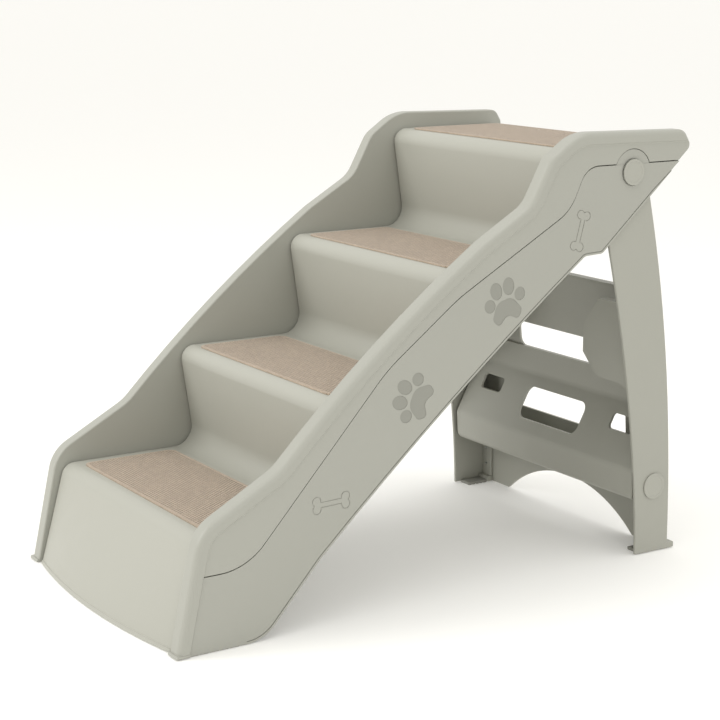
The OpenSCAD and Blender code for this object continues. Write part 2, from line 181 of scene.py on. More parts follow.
# Crest of a side, from the foot of its front edge to its rear tip
crestLine = smoothOutline(
    [(sideFront, stair["floorGap"]),
     (noseY[0] - 0.013, treadZ[0] + 0.012, 0.045),
     (*crestLow, 0.060)]
    + [tuple(point) for point in bowLine(crestLow, crestHigh, 0.008, 8)]
    + [(*crestHigh, 0.060),
       (topY - 0.062, topZ - 0.055, 0.040),
       (topY - 0.035, topZ - 0.006, 0.030),
       (topY + 0.003, crestZ - 0.001, 0.060),
       (tipY - 0.012, crestZ - 0.004, 0.012),
       (tipY, topZ - 0.002, 0.0095),
       tipLow], closed=False)

# Lower edge of a side, from its rear tip to its front foot
edgeLine = smoothOutline(
    [tipLow,
     (topY + 0.040, topZ - 0.1155, 0.008),
     (*edgeHigh, 0.010)]
    + [tuple(point) for point in bowLine(edgeHigh, edgeLow, -0.006, 8)]
    + [edgeLow,
       (noseY[0] + 0.059, stair["floorGap"], 0.045),
       (sideFront, stair["floorGap"])], closed=False)

sideOutline = crestLine + edgeLine[1:-1]

# Inner edge of the raised band along the crest
bandLine = shiftLine(crestLine, stair["rimBand"])


def bandAt(height):
    # how far back the band's straight front part stands at a height
    first, second = bandLine[:2]
    return first.x + (second.x - first.x) * (height - first.y) / (second.y - first.y)


# Seam between a rail and its side panel, from front to rear
seamLine = smoothOutline(
    [(frontY - 0.060, seamFront),
     (noseY[0] + 0.040, seamFront, 0.070),
     (noseY[1] + 0.058, treadZ[1] + 0.030, 0.200),
     (noseY[2] - 0.004, treadZ[2] - 0.025, 0.200),
     (topY - 0.007, topZ - 0.064, 0.055),
     (topY + 0.015, topZ - 0.017, 0.026),
     (behindTip, topZ - 0.017)], count=12, closed=False)

# Upper face of the treads and risers, from the floor in front to the lip behind
treadLine = smoothOutline(
    [(frontY, stair["floorGap"])]
    + [spot for index in range(4) for spot in (
        [(noseY[index] - 0.006, treadZ[index], stair["noseRadius"])]
        + ([(noseY[index + 1] - 0.006 + stair["undercut"], treadZ[index], stair["baseRadius"])]
           if index < 3 else []))]
    + [(treadEnd, topZ, 0.0095), (treadEnd, topZ - 0.014)], closed=False)


# ---- modelling steps

def leaveEdit():
    if bpy.context.object and bpy.context.object.mode != "OBJECT":
        bpy.ops.object.mode_set(mode="OBJECT")
    bpy.ops.object.select_all(action="DESELECT")


def pickPiece(piece, edit=False):
    leaveEdit()
    piece.select_set(True)
    bpy.context.view_layer.objects.active = piece
    if edit:
        bpy.ops.object.mode_set(mode="EDIT")


def selectWhere(piece, kind, test):
    # kind is verts, edges or faces, and test gets the middle of each, and the element
    bpy.ops.mesh.select_all(action="DESELECT")
    bpy.ops.mesh.select_mode(type={"verts": "VERT", "edges": "EDGE", "faces": "FACE"}[kind])
    shape = bmesh.from_edit_mesh(piece.data)
    for item in getattr(shape, kind):
        if kind == "verts":
            middle = item.co
        elif kind == "faces":
            middle = item.calc_center_median()
        else:
            middle = (item.verts[0].co + item.verts[1].co) / 2
        if test(middle, item):
            item.select_set(True)
    shape.select_flush_mode()
    bmesh.update_edit_mesh(piece.data)


def drawLine(name, points, closed=True):
    leaveEdit()
    bpy.ops.mesh.primitive_plane_add(size=0.001, location=(0, 0, 0))
    piece = bpy.context.object
    piece.name = piece.data.name = name
    bpy.ops.object.mode_set(mode="EDIT")
    bpy.ops.mesh.select_mode(type="VERT")
    bpy.ops.mesh.merge(type="CENTER")
    bpy.ops.transform.translate(value=points[0])
    last = Vector(points[0])
    for point in list(points[1:]) + ([points[0]] if closed else []):
        bpy.ops.mesh.extrude_region_move(TRANSFORM_OT_translate={"value": Vector(point) - last})
        last = Vector(point)
    bpy.ops.mesh.select_all(action="SELECT")
    bpy.ops.mesh.remove_doubles(threshold=0.000002)
    return piece


def sideSlab(name, outline, startX, endX, columns=1):
    # an outline in the side view, filled and pulled across the stairs
    piece = drawLine(name, [(startX, point.x, point.y) for point in outline])
    bpy.ops.mesh.edge_face_add()
    for column in range(columns):
        bpy.ops.mesh.extrude_region_move(
            TRANSFORM_OT_translate={"value": ((endX - startX) / columns, 0, 0)})
    bpy.ops.mesh.select_all(action="SELECT")
    bpy.ops.mesh.normals_make_consistent(inside=False)
    leaveEdit()
    return piece


def backSlab(name, outline, startY, endY):
    # an outline seen from behind, filled and pushed along the climb
    piece = drawLine(name, [(point.x, startY, point.y) for point in outline])
    bpy.ops.mesh.edge_face_add()
    bpy.ops.mesh.extrude_region_move(TRANSFORM_OT_translate={"value": (0, endY - startY, 0)})
    bpy.ops.mesh.select_all(action="SELECT")
    bpy.ops.mesh.normals_make_consistent(inside=False)
    leaveEdit()
    return piece


def disc(name, place, radius, startX, endX, sides=48):
    leaveEdit()
    bpy.ops.mesh.primitive_cylinder_add(
        vertices=sides, radius=radius, depth=abs(endX - startX),
        location=((startX + endX) / 2, place[0], place[1]), rotation=(0, math.pi / 2, 0))
    piece = bpy.context.object
    piece.name = piece.data.name = name
    bpy.ops.object.transform_apply(location=True, rotation=True, scale=True)
    leaveEdit()
    return piece


def applyModifier(piece, kind, **values):
    pickPiece(piece)
    modifier = piece.modifiers.new(kind.lower(), kind)
    for key, value in values.items():
        setattr(modifier, key, value)
    bpy.ops.object.modifier_apply(modifier=modifier.name)
    leaveEdit()
    return piece


def combine(piece, cutter, operation="DIFFERENCE"):
    applyModifier(piece, "BOOLEAN", object=cutter, operation=operation, solver="EXACT")
    bpy.data.objects.remove(cutter, do_unlink=True)
    return piece


def softEdges(piece, width, segments=2, angle=35):
    return applyModifier(piece, "BEVEL", width=width, segments=segments, limit_method="ANGLE",
                         angle_limit=math.radians(angle), use_clamp_overlap=True)


def fineEdges(piece, width=0.0005):
    return softEdges(piece, width, 2, 50)


def addWall(piece, thickness):
    return applyModifier(piece, "SOLIDIFY", thickness=thickness, offset=-1, use_even_offset=False)


def smoothPiece(piece, angle=32):
    pickPiece(piece)
    bpy.ops.object.shade_smooth_by_angle(angle=math.radians(angle))
    applyModifier(piece, "WEIGHTED_NORMAL", mode="FACE_AREA", weight=50, keep_sharp=True)
    leaveEdit()
    return piece


def joinPieces(piece, others):
    leaveEdit()
    for other in others:
        other.select_set(True)
    piece.select_set(True)
    bpy.context.view_layer.objects.active = piece
    bpy.ops.object.join()
    leaveEdit()
    return piece


def mirroredCopy(piece, name):
    # the same piece on the left-hand side, with its own mesh
    pickPiece(piece)
    bpy.ops.object.duplicate(linked=False)
    copy = bpy.context.object
    copy.name = copy.data.name = name
    bpy.ops.object.mode_set(mode="EDIT")
    bpy.ops.mesh.select_all(action="SELECT")
    bpy.ops.transform.mirror(orient_type="GLOBAL", constraint_axis=(True, False, False),
                             center_override=(0, 0, 0))
    bpy.ops.mesh.flip_normals()
    pickPiece(copy)
    bpy.ops.mesh.customdata_custom_splitnormals_clear()
    return smoothPiece(copy)


def settle(piece, finish, body, slot, *nodes):
    piece.data.materials.clear()
    piece.data.materials.append(finishes[finish])
    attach(piece, body)
    if nodes:
        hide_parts(*nodes)
    return piece


def settlePair(right, leftName, finish, body, slot, node=None):
    # a right-hand piece and its mirrored copy, in place of both nodes of a pair
    left = mirroredCopy(right, leftName)
    for side, piece in (("right_", right), ("left_", left)):
        settle(piece, finish, body, slot, *([side + node] if node else []))


# ---- finishes

def newGroup(name, inputs, outputs):
    group = bpy.data.node_groups.new(name, "ShaderNodeTree")
    for label, kind, value in inputs:
        socket = group.interface.new_socket(label, in_out="INPUT", socket_type=kind)
        if value is not None:
            socket.default_value = value
    for label, kind in outputs:
        group.interface.new_socket(label, in_out="OUTPUT", socket_type=kind)
    return group, group.nodes.new("NodeGroupInput"), group.nodes.new("NodeGroupOutput")


def noiseNode(group, place, scale, detail, roughness=0.5, stretch=None):
    texture = group.nodes.new("ShaderNodeTexNoise")
    texture.inputs["Scale"].default_value = scale
    texture.inputs["Detail"].default_value = detail
    texture.inputs["Roughness"].default_value = roughness
    if stretch:
        mapping = group.nodes.new("ShaderNodeMapping")
        mapping.inputs["Scale"].default_value = stretch
        group.links.new(place, mapping.inputs["Vector"])
        place = mapping.outputs["Vector"]
    group.links.new(place, texture.inputs["Vector"])
    return texture.outputs["Fac"]


def mathNode(group, operation, first, second=None, third=None):
    node = group.nodes.new("ShaderNodeMath")
    node.operation = operation
    for index, value in enumerate([first, second, third]):
        if value is None:
            continue
        if isinstance(value, (int, float)):
            node.inputs[index].default_value = value
        else:
            group.links.new(value, node.inputs[index])
    return node.outputs[0]


def swingNode(group, base, noise, amount):
    # adds a noise that swings about nought
    swing = mathNode(group, "MULTIPLY", mathNode(group, "SUBTRACT", noise, 0.5), amount)
    return mathNode(group, "ADD", base, swing)


def rangeNode(group, value, *limits):
    # limits are from low, from high, to low and to high
    node = group.nodes.new("ShaderNodeMapRange")
    for label, number in zip(("From Min", "From Max", "To Min", "To Max"), limits):
        node.inputs[label].default_value = number
    group.links.new(value, node.inputs["Value"])
    return node.outputs["Result"]


def tintNode(group, colour, factor):
    # multiplies a colour by a grey factor
    node = group.nodes.new("ShaderNodeVectorMath")
    node.operation = "SCALE"
    group.links.new(colour, node.inputs[0])
    group.links.new(factor, node.inputs["Scale"])
    return node.outputs["Vector"]


def makeMouldedGroup():
    group, source, sink = newGroup(
        "mouldedPlastic",
        [("Place", "NodeSocketVector", None), ("Colour", "NodeSocketColor", (0.4, 0.4, 0.35, 1)),
         ("Tone Spread", "NodeSocketFloat", 0.05), ("Base Roughness", "NodeSocketFloat", 0.42),
         ("Grain", "NodeSocketFloat", 1.0)],
        [("Colour", "NodeSocketColor"), ("Roughness", "NodeSocketFloat"), ("Height", "NodeSocketFloat")])
    place = source.outputs["Place"]
    cloud = noiseNode(group, place, 5.0, 3.0)                      # slow drift of the colour
    flow = noiseNode(group, place, 14.0, 4.0, 0.6, (1.0, 0.25, 1.0))   # faint marks along the climb
    speck = noiseNode(group, place, 1500.0, 2.0, 0.6)              # fine speckle of the resin
    grain = noiseNode(group, place, 900.0, 3.0, 0.55)              # satin texture of the mould
    rub = noiseNode(group, place, 45.0, 5.0, 0.7)                  # handling marks
    tone = mathNode(group, "MULTIPLY_ADD", cloud, 0.55, mathNode(group, "MULTIPLY", flow, 0.3))
    tone = mathNode(group, "ADD", tone, mathNode(group, "MULTIPLY", speck, 0.15))
    tone = mathNode(group, "SUBTRACT", tone, 0.5)
    factor = mathNode(group, "MULTIPLY_ADD", tone, source.outputs["Tone Spread"], 1.0)
    group.links.new(tintNode(group, source.outputs["Colour"], factor), sink.inputs["Colour"])
    rough = rangeNode(group, rub, 0.35, 0.7, -0.035, 0.055)
    rough = swingNode(group, rough, speck, 0.05)
    rough = mathNode(group, "ADD", rough, source.outputs["Base Roughness"])
    group.links.new(rough, sink.inputs["Roughness"])
    height = mathNode(group, "MULTIPLY", grain, 0.8)
    height = mathNode(group, "ADD", height, mathNode(group, "MULTIPLY", speck, 0.2))
    height = mathNode(group, "MULTIPLY", height, source.outputs["Grain"])
    group.links.new(height, sink.inputs["Height"])
    return group


def makeWeaveGroup():
    # ribbed flat weave: rows of short bars, every second row stepped by half a bar, with painted shade in the
    # gap colour where the bars and rows dip into their grooves
    group, source, sink = newGroup(
        "ribWeave",
        [("Place", "NodeSocketVector", None), ("Yarn", "NodeSocketColor", (0.5, 0.4, 0.3, 1)),
         ("Gap", "NodeSocketColor", (0.3, 0.22, 0.16, 1)), ("Row Pitch", "NodeSocketFloat", 0.0026),
         ("Bar Pitch", "NodeSocketFloat", 0.0034)],
        [("Colour", "NodeSocketColor"), ("Roughness", "NodeSocketFloat"), ("Height", "NodeSocketFloat")])
    place = source.outputs["Place"]
    split = group.nodes.new("ShaderNodeSeparateXYZ")
    group.links.new(place, split.inputs[0])
    wander = noiseNode(group, place, 60.0, 2.0)
    drift = mathNode(group, "MULTIPLY", mathNode(group, "SUBTRACT", wander, 0.5), 0.0008)
    across = mathNode(group, "ADD", split.outputs["X"], drift)
    along = mathNode(group, "ADD", split.outputs["Y"], drift)
    row = mathNode(group, "DIVIDE", along, source.outputs["Row Pitch"])
    rowNumber = mathNode(group, "FLOOR", row)
    shift = mathNode(group, "MULTIPLY", mathNode(group, "PINGPONG", rowNumber, 1.0), 0.5)
    bar = mathNode(group, "DIVIDE", across, source.outputs["Bar Pitch"])
    bar = mathNode(group, "ADD", bar, shift)
    barNumber = mathNode(group, "FLOOR", bar)
    arcs = []
    for value, power in ((row, 0.55), (bar, 0.35)):     # rounded over each row and each bar
        arc = mathNode(group, "MULTIPLY", mathNode(group, "FRACT", value), math.pi)
        arcs.append(mathNode(group, "POWER", mathNode(group, "SINE", arc), power))
    lump = mathNode(group, "MULTIPLY", *arcs)
    fibre = noiseNode(group, place, 700.0, 3.0, 0.6, (1.0, 2.5, 1.0))
    cloud = noiseNode(group, place, 18.0, 3.0)
    # each bar has its own tone, scattered by its row and bar number
    scatter = mathNode(group, "MULTIPLY", barNumber, 78.23)
    scatter = mathNode(group, "SINE", mathNode(group, "MULTIPLY_ADD", rowNumber, 12.99, scatter))
    scatter = mathNode(group, "FRACT", mathNode(group, "MULTIPLY", scatter, 437.5))
    shade = mathNode(group, "MULTIPLY_ADD", mathNode(group, "SUBTRACT", scatter, 0.5), 0.16, 1.0)
    shade = swingNode(group, swingNode(group, shade, fibre, 0.28), cloud, 0.16)
    # painted shade: the colour falls from the yarn to the darker gap colour where each bar rounds down into
    # the groove between bars and rows
    grooveShadeMix = group.nodes.new("ShaderNodeMix")
    grooveShadeMix.data_type = "RGBA"
    group.links.new(rangeNode(group, lump, 0.15, 0.75, 0.0, 1.0), grooveShadeMix.inputs["Factor"])
    group.links.new(source.outputs["Gap"], grooveShadeMix.inputs[6])
    group.links.new(source.outputs["Yarn"], grooveShadeMix.inputs[7])
    group.links.new(tintNode(group, grooveShadeMix.outputs[2], shade), sink.inputs["Colour"])
    group.links.new(rangeNode(group, fibre, 0.2, 0.8, 0.82, 0.95), sink.inputs["Roughness"])
    height = mathNode(group, "ADD", lump, mathNode(group, "MULTIPLY", fibre, 0.35))
    group.links.new(height, sink.inputs["Height"])
    return group


def makeMetalGroup():
    group, source, sink = newGroup(
        "platedSteel",
        [("Place", "NodeSocketVector", None), ("Colour", "NodeSocketColor", (0.55, 0.56, 0.58, 1))],
        [("Colour", "NodeSocketColor"), ("Roughness", "NodeSocketFloat"), ("Height", "NodeSocketFloat")])
    place = source.outputs["Place"]
    spangle = noiseNode(group, place, 260.0, 4.0, 0.6)
    scratch = noiseNode(group, place, 900.0, 2.0, 0.5, (0.3, 2.0, 2.0))
    factor = rangeNode(group, spangle, 0.3, 0.7, 0.86, 1.06)
    group.links.new(tintNode(group, source.outputs["Colour"], factor), sink.inputs["Colour"])
    group.links.new(rangeNode(group, scratch, 0.3, 0.7, 0.28, 0.44), sink.inputs["Roughness"])
    group.links.new(scratch, sink.inputs["Height"])
    return group


groups = {"moulded": makeMouldedGroup(), "weave": makeWeaveGroup(), "metal": makeMetalGroup()}


def newFinish(name, groupName, values, bumpStrength, bumpDistance, constants):
    material = bpy.data.materials.new(name)
    material.use_nodes = True
    tree = material.node_tree
    shader = tree.nodes["Principled BSDF"]
    places = tree.nodes.new("ShaderNodeTexCoord")
    effect = tree.nodes.new("ShaderNodeGroup")
    effect.node_tree = groups[groupName]
    tree.links.new(places.outputs["Object"], effect.inputs["Place"])
    for label, value in values.items():
        effect.inputs[label].default_value = value
    bump = tree.nodes.new("ShaderNodeBump")
    bump.inputs["Strength"].default_value = bumpStrength
    bump.inputs["Distance"].default_value = bumpDistance
    tree.links.new(effect.outputs["Height"], bump.inputs["Height"])
    tree.links.new(bump.outputs["Normal"], shader.inputs["Normal"])
    tree.links.new(effect.outputs["Colour"], shader.inputs["Base Color"])
    tree.links.new(effect.outputs["Roughness"], shader.inputs["Roughness"])
    for label, value in constants.items():
        shader.inputs[label].default_value = value
    return material


def plasticFinish(name, colour, roughness=0.42, spread=0.05, grain=1.0, bump=0.12):
    values = {"Colour": (*colour, 1), "Tone Spread": spread, "Base Roughness": roughness, "Grain": grain}
    return newFinish(name, "moulded", values, bump, 0.0004, {"IOR": 1.48})


# the gap colour of a cloth is painted shade in the grooves of its weave
def clothFinish(name, yarn, gap, rowPitch, barPitch, bump, bumpDepth, sheen):
    values = {"Yarn": (*yarn, 1), "Gap": (*gap, 1), "Row Pitch": rowPitch, "Bar Pitch": barPitch}
    return newFinish(name, "weave", values, bump, bumpDepth,
                     {"Sheen Weight": sheen, "Sheen Roughness": 0.6, "Specular IOR Level": 0.2})


finishes = {    # colour, roughness, spread of its tone, grain and bump
    "tread": plasticFinish("satinTread", (0.392, 0.390, 0.341), 0.38),
    "rail": plasticFinish("satinRail", (0.366, 0.366, 0.322), 0.40),
    "panel": plasticFinish("satinPanel", (0.358, 0.358, 0.316), 0.42),
    "print": plasticFinish("pawPrint", (0.270, 0.270, 0.236), 0.50, 0.04),
    "frame": plasticFinish("satinFrame", (0.356, 0.355, 0.310), 0.42),
    "cap": plasticFinish("satinCap", (0.374, 0.373, 0.326), 0.38),
    "nylon": plasticFinish("naturalNylon", (0.78, 0.76, 0.70), 0.48, 0.03),
    "rubber": plasticFinish("greyRubber", (0.255, 0.254, 0.225), 0.78, 0.12, 1.5, 0.3),
    # cloths: yarn colour, painted shade colour for the grooves, row pitch, bar pitch, bump, bump depth and
    # sheen
    "mat": clothFinish("ribbedMat", (0.425, 0.335, 0.248), (0.165, 0.122, 0.082),
                       0.0034, 0.0050, 0.9, 0.0012, 0.25),
    "binding": clothFinish("matBinding", (0.430, 0.340, 0.250), (0.200, 0.150, 0.102),
                           0.0016, 0.0026, 0.5, 0.0004, 0.3),
    "steel": newFinish("zincSteel", "metal", {}, 0.1, 0.0001, {"Metallic": 1.0}),
}
print("finishes made")


# ---- treads and risers: one moulded shell

def makeStepShell():
    size = {"columns": 20, "endGap": 0.0003, "endRound": 0.005, "lipHeight": 0.0032, "lipReach": 0.0012,
            "flange": 0.005, "bowPower": 1.35, "rows": (0.10, 0.2, 0.32, 0.44, 0.56, 0.68, 0.8, 0.92)}
    depth = 0.1     # how far the blank runs below the floor, where it is cut open
    half = innerX - size["endGap"]
    front, wallTop = treadLine[:2]
    rise = wallTop - front
    rows = [front + rise * share for share in size["rows"]]
    lip = [front + rise * (height / rise.y) for height in (size["lipHeight"], size["lipHeight"] + 0.0006)]
    outline = [front] + lip + rows + treadLine[1:]
    below = [Vector((treadEnd, -depth)), front - rise * (depth / rise.y)]
    piece = sideSlab("step_shell_skin", outline + below, -half, half, size["columns"])
    pickPiece(piece, edit=True)

    def onCapRim(middle, edge):
        if abs(abs(middle.x) - half) > 1e-5:
            return False
        return abs(edge.verts[0].co.x - edge.verts[1].co.x) < 1e-6 and middle.z > 0.001 - depth
    selectWhere(piece, "edges", onCapRim)
    bpy.ops.mesh.bevel(offset=size["endRound"], segments=5, profile=0.5, affect="EDGES", clamp_overlap=True)
    selectWhere(piece, "faces", lambda middle, face: abs(face.normal.x) > 0.999 and len(face.verts) > 20)
    bpy.ops.mesh.inset(thickness=size["flange"], use_even_offset=True)
    bpy.ops.mesh.delete(type="FACE")
    selectWhere(piece, "faces", lambda middle, face: middle.z < stair["floorGap"] - 1e-5
                or (middle.y > treadEnd - 0.02 and middle.z < topZ - 0.0141))
    bpy.ops.mesh.delete(type="FACE")
    # the front wall bows out towards the floor
    shape = bmesh.from_edit_mesh(piece.data)
    spots = sorted({(round(vert.co.x, 6), round(vert.co.y, 6), round(vert.co.z, 6)) for vert in shape.verts
                    if vert.co.z < wallTop.y - 1e-6
                    and abs(vert.co.y - (front.x + rise.x * (vert.co.z - front.y) / rise.y)) < 0.0005})
    for spot in spots:
        share = 1 - (spot[2] - front.y) / rise.y
        push = stair["frontBow"] * (1 - (spot[0] / innerX) ** 2) * share ** size["bowPower"]
        if spot[2] < front.y + size["lipHeight"] + 1e-5:
            push += size["lipReach"]
        selectWhere(piece, "verts", lambda middle, vert: (middle - Vector(spot)).length < 2e-6)
        bpy.ops.transform.translate(value=(0, -push, 0))
    bpy.ops.mesh.select_all(action="DESELECT")
    leaveEdit()
    addWall(piece, stair["wall"])
    pickPiece(piece, edit=True)
    selectWhere(piece, "verts", lambda middle, vert: middle.z < stair["floorGap"])
    bpy.ops.transform.resize(value=(1, 1, 0), center_override=(0, 0, stair["floorGap"]))
    leaveEdit()
    smoothPiece(piece, 38)
    settle(piece, "tread", "stairs", "tread_plastic", "step_shell")


makeStepShell()
print("treads and risers made")


# ---- rails

def makeRail():
    size = {"tipCut": 0.034, "bandSoft": 0.0028, "treadShift": (0.0085, -0.0105), "endBefore": 0.045,
            "endBelow": 0.030, "nubHeight": 0.0032, "nubReach": 0.0020, "nubLength": 0.0145, "postTurn": 132}
    wall = stair["wall"]
    outerWall = wall + stair["bandStep"]
    blank = sideSlab("right_rail_skin", sideOutline, innerX, outerX)
    pickPiece(blank, edit=True)
    rim = {(round(point.x, 5), round(point.y, 5)) for point in crestLine}

    for place, width in ((outerX, stair["rimOuter"]), (innerX, stair["rimInner"])):
        def onRim(middle, edge):
            ends = [(round(vert.co.y, 5), round(vert.co.z, 5)) for vert in edge.verts]
            return all(end in rim for end in ends) and all(
                abs(vert.co.x - place) < 1e-6 for vert in edge.verts)
        selectWhere(blank, "edges", onRim)
        bpy.ops.mesh.bevel(offset=width, segments=6, profile=0.5, affect="EDGES", clamp_overlap=False)
    leaveEdit()
    # the face beside the raised band lies back
    last = next(index for index, point in enumerate(bandLine) if point.x > tipY - size["tipCut"])
    band = bandLine[:last]
    step = sideSlab("bandStep", [band[0] - (band[1] - band[0]) * 0.5] + band + [
        Vector((tipY + 0.02, crestZ - 0.004 - stair["rimBand"])), Vector((tipY + 0.02, underFloor)),
        Vector((band[0].x, underFloor))], outerX - stair["bandStep"], outerX + cutPast)
    softEdges(step, size["bandSoft"], 4, 60)
    combine(blank, step)
    # hollow between the two walls, open underneath
    inset = shiftLine(crestLine, wall)
    start = inset[0] - (inset[1] - inset[0]).normalized() * 0.05
    end = [inset[-1] + (inset[-1] - inset[-2]) * 0.2, Vector((inset[-1].x - 0.02, underFloor))]
    combine(blank, sideSlab("hollow", [start] + inset + end, innerX + wall, outerX - outerWall))
    # the outer wall ends at the seam, and a strip of it runs down the front edge
    stripEnd = [point for point in bandLine if point.y < seamFront][-1]
    seam = [point for point in seamLine if point.x > stripEnd.x + 0.002]
    seam = [Vector((bandAt(seam[0].y), seam[0].y))] + seam
    lower = [Vector((behindTip, underFloor)), Vector((bandLine[0].x - 0.004, underFloor)),
             bandLine[0] - (bandLine[1] - bandLine[0]) * 0.02]
    combine(blank, sideSlab("belowSeam", seam + lower, outerX - outerWall - overlap, outerX + cutPast))
    # the inner wall ends behind the treads
    reach = treadZ[0] + 0.008
    turnY = noseY[1] + 0.019
    endY, endZ = hingeY - size["endBefore"], hingeZ - size["endBelow"]
    under = [point + Vector(size["treadShift"]) for point in treadLine]
    under = [point for point in under if point.y > reach and noseY[1] - 0.01 < point.x < endY]
    outline = [Vector(place) for place in (
        (turnY, underFloor), (turnY, reach), (under[0].x, reach), *under, (endY, topZ - 0.008),
        (endY, endZ), (behindTip, endZ), (behindTip, underFloor))]
    combine(blank, sideSlab("underTreads", outline, innerX - cutPast, innerX + wall + overlap))
    # round recess for the hinge cap
    combine(blank, disc("capSeat", hingePlace, stair["capSeat"],
                        outerX - outerWall - faceCut, outerX + cutPast, 96))
    # small nub round the foot of the front edge
    low, high = 0.001, 0.001 + size["nubHeight"]
    nub = sideSlab("nub", smoothOutline(
        [(sideFront - size["nubReach"], low), (sideFront + 0.013, low), (sideFront + size["nubLength"], high),
         (sideFront - size["nubReach"] + 0.001, high, 0.0012)]), innerX + overlap, outerX + 0.0006)
    softEdges(nub, 0.0008, 2)
    # post inside the rail that stops the leg frame
    post = disc("post", onCircle(hingePlace, stair["stopReach"], size["postTurn"]), stair["postRadius"],
                innerX + wall - 0.0003, outerX - outerWall + 0.0003, 32)
    fineEdges(blank)
    joinPieces(blank, [nub, post])
    smoothPiece(blank)
    return blank


settlePair(makeRail(), "left_rail_skin", "rail", "stairs", "rail_plastic", "rail")
print("rails made")


# ---- side panels with paw prints and bones

decorHeight = 0.323     # the places of prints and bones are measured from here, half way along
pawPrints = {   # (centre of the pad, turn in degrees)
    "upper": ((0.0788, -0.0076), 14.6),
    "lower": ((-0.0333, -0.0940), 68),
}
boneMarks = {   # (middle, turn in degrees, length)
    "lower": ((-0.1445, -0.1880), 2, 0.045),
    "upper": ((0.1785, 0.0713), 75, 0.045),
}


def blobOutline(centre, reachY, reachZ, turn, count=28):
    angles = [2 * math.pi * step / count for step in range(count)]
    return [Vector(turned((reachY * math.cos(angle), reachZ * math.sin(angle)), centre, turn))
            for angle in angles]


def pawShapes(centre, degrees):
    # four toes over one broad three-lobed pad
    turn = math.radians(degrees)
    # each toe: place, half width, half height and lean
    toes = [(-0.0202, 0.0116, 0.0071, 0.0075, 0.3), (-0.0085, 0.0248, 0.0077, 0.0098, 0.1),
            (0.0085, 0.0250, 0.0077, 0.0098, -0.1), (0.0210, 0.0120, 0.0071, 0.0075, -0.3)]
    shapes = [blobOutline(turned((y, z), centre, turn), wide, tall, turn + lean)
              for y, z, wide, tall, lean in toes]
    # right half of the pad's corners, each with its rounding
    right = [(0.0105, 0.0122, 0.0135), (0.0205, -0.0050, 0.0060), (0.0135, -0.0148, 0.0048)]
    corners = right + [(0, -0.0050, 0.0090)] + [(-y, z, radius) for y, z, radius in reversed(right)]
    pad = smoothOutline([(*turned((y, z), centre, turn), radius) for y, z, radius in corners], 8)
    return shapes + [pad]


def boneOutline(middle, degrees, length):
    half, lobe = length / 2, 0.0050
    points = []
    for side, end, start in ((1, -1, 162), (1, 1, -52), (-1, 1, -18), (-1, -1, 128)):
        for step in range(11):      # an arc of 250 degrees round each knob
            angle = math.radians(start + 250 * step / 10)
            points.append((side * (half - lobe) + lobe * math.cos(angle),
                           end * lobe * 0.86 + lobe * math.sin(angle)))
    return [Vector(turned(point, middle, math.radians(degrees))) for point in points]


def fromCentre(place):
    return (place[0], place[1] + decorHeight)


def makeSidePanel():
    size = {"beadWidth": 0.0020, "edgeGroove": 0.0013, "edgeDepth": 0.0011, "bossGap": 0.0007,
            "dip": 0.0155, "dipDepth": 0.0010, "printDepth": 0.0005, "printHeight": 0.0004,
            "grooveWidth": 0.0010, "grooveDepth": 0.0006}
    faceX = outerX - stair["bandStep"]
    backX, pastX = faceX - stair["wall"], outerX + faceCut
    panel = sideSlab("right_side_panel_skin", sideOutline, backX, faceX)
    # cut off above the seam and in front of the rail's front strip
    seam = [point + Vector((0, -stair["seamGap"])) for point in seamLine]
    joinY = bandAt(seam[0].y) + stair["seamGap"]
    footZ = bandLine[0].y - 0.05
    above = [Vector((joinY, seam[0].y))] + [point for point in seam if point.x > joinY + 0.002]
    above += [Vector((behindTip, 0.7)), Vector((frontY - 0.2, 0.7)), Vector((frontY - 0.2, footZ)),
              Vector((bandAt(footZ) + stair["seamGap"], footZ))]
    combine(panel, sideSlab("above", above, backX - faceCut, pastX))
    combine(panel, disc("capBoss", hingePlace, stair["capSeat"] - size["bossGap"],
                        backX + 0.0001, faceX - 0.0005, 96), "UNION")
    # fine groove along the lower and rear edge, which leaves a thin bead
    lowerEdge = [point for point in edgeLine if point.x > joinY + 0.001]
    lowerEdge = [Vector((tipY - 0.012, topZ - 0.017)) * 0.999 + lowerEdge[0] * 0.001] + lowerEdge
    nearLine = shiftLine(lowerEdge, size["beadWidth"])
    farLine = shiftLine(lowerEdge, size["beadWidth"] + size["edgeGroove"])
    combine(panel, sideSlab("edgeGroove", nearLine + farLine[::-1], faceX - size["edgeDepth"], pastX))
    # shallow seat for the hinge cap
    combine(panel, disc("capDip", hingePlace, size["dip"], faceX - size["dipDepth"], pastX, 96))
    prints = []
    for centre, degrees in pawPrints.values():
        for outline in pawShapes(fromCentre(centre), degrees):
            dentX = faceX - size["printDepth"]
            combine(panel, sideSlab("dent", outline, dentX, pastX))
            prints.append(sideSlab("print", outline, dentX - size["printHeight"], faceX - 0.0003))
    for middle, degrees, length in boneMarks.values():
        outline = boneOutline(fromCentre(middle), degrees, length)
        grooveX, reach = faceX - size["grooveDepth"], size["grooveWidth"] / 2
        combine(panel, sideSlab("groove", shiftLoop(outline, reach), grooveX, pastX))
        combine(panel, sideSlab("island", shiftLoop(outline, -reach), grooveX - 0.0005, faceX), "UNION")
    fineEdges(panel)
    smoothPiece(panel)
    inlay = joinPieces(prints[0], prints[1:])
    inlay.name = inlay.data.name = "right_paw_prints"
    fineEdges(inlay, 0.0003)
    smoothPiece(inlay)
    return panel, inlay


rightPanel, rightPrints = makeSidePanel()
settlePair(rightPanel, "left_side_panel_skin", "panel", "stairs", "panel_plastic", "side_panel")
settlePair(rightPrints, "left_paw_prints", "print", "stairs", "panel_plastic")
print("side panels made")


# ---- mats

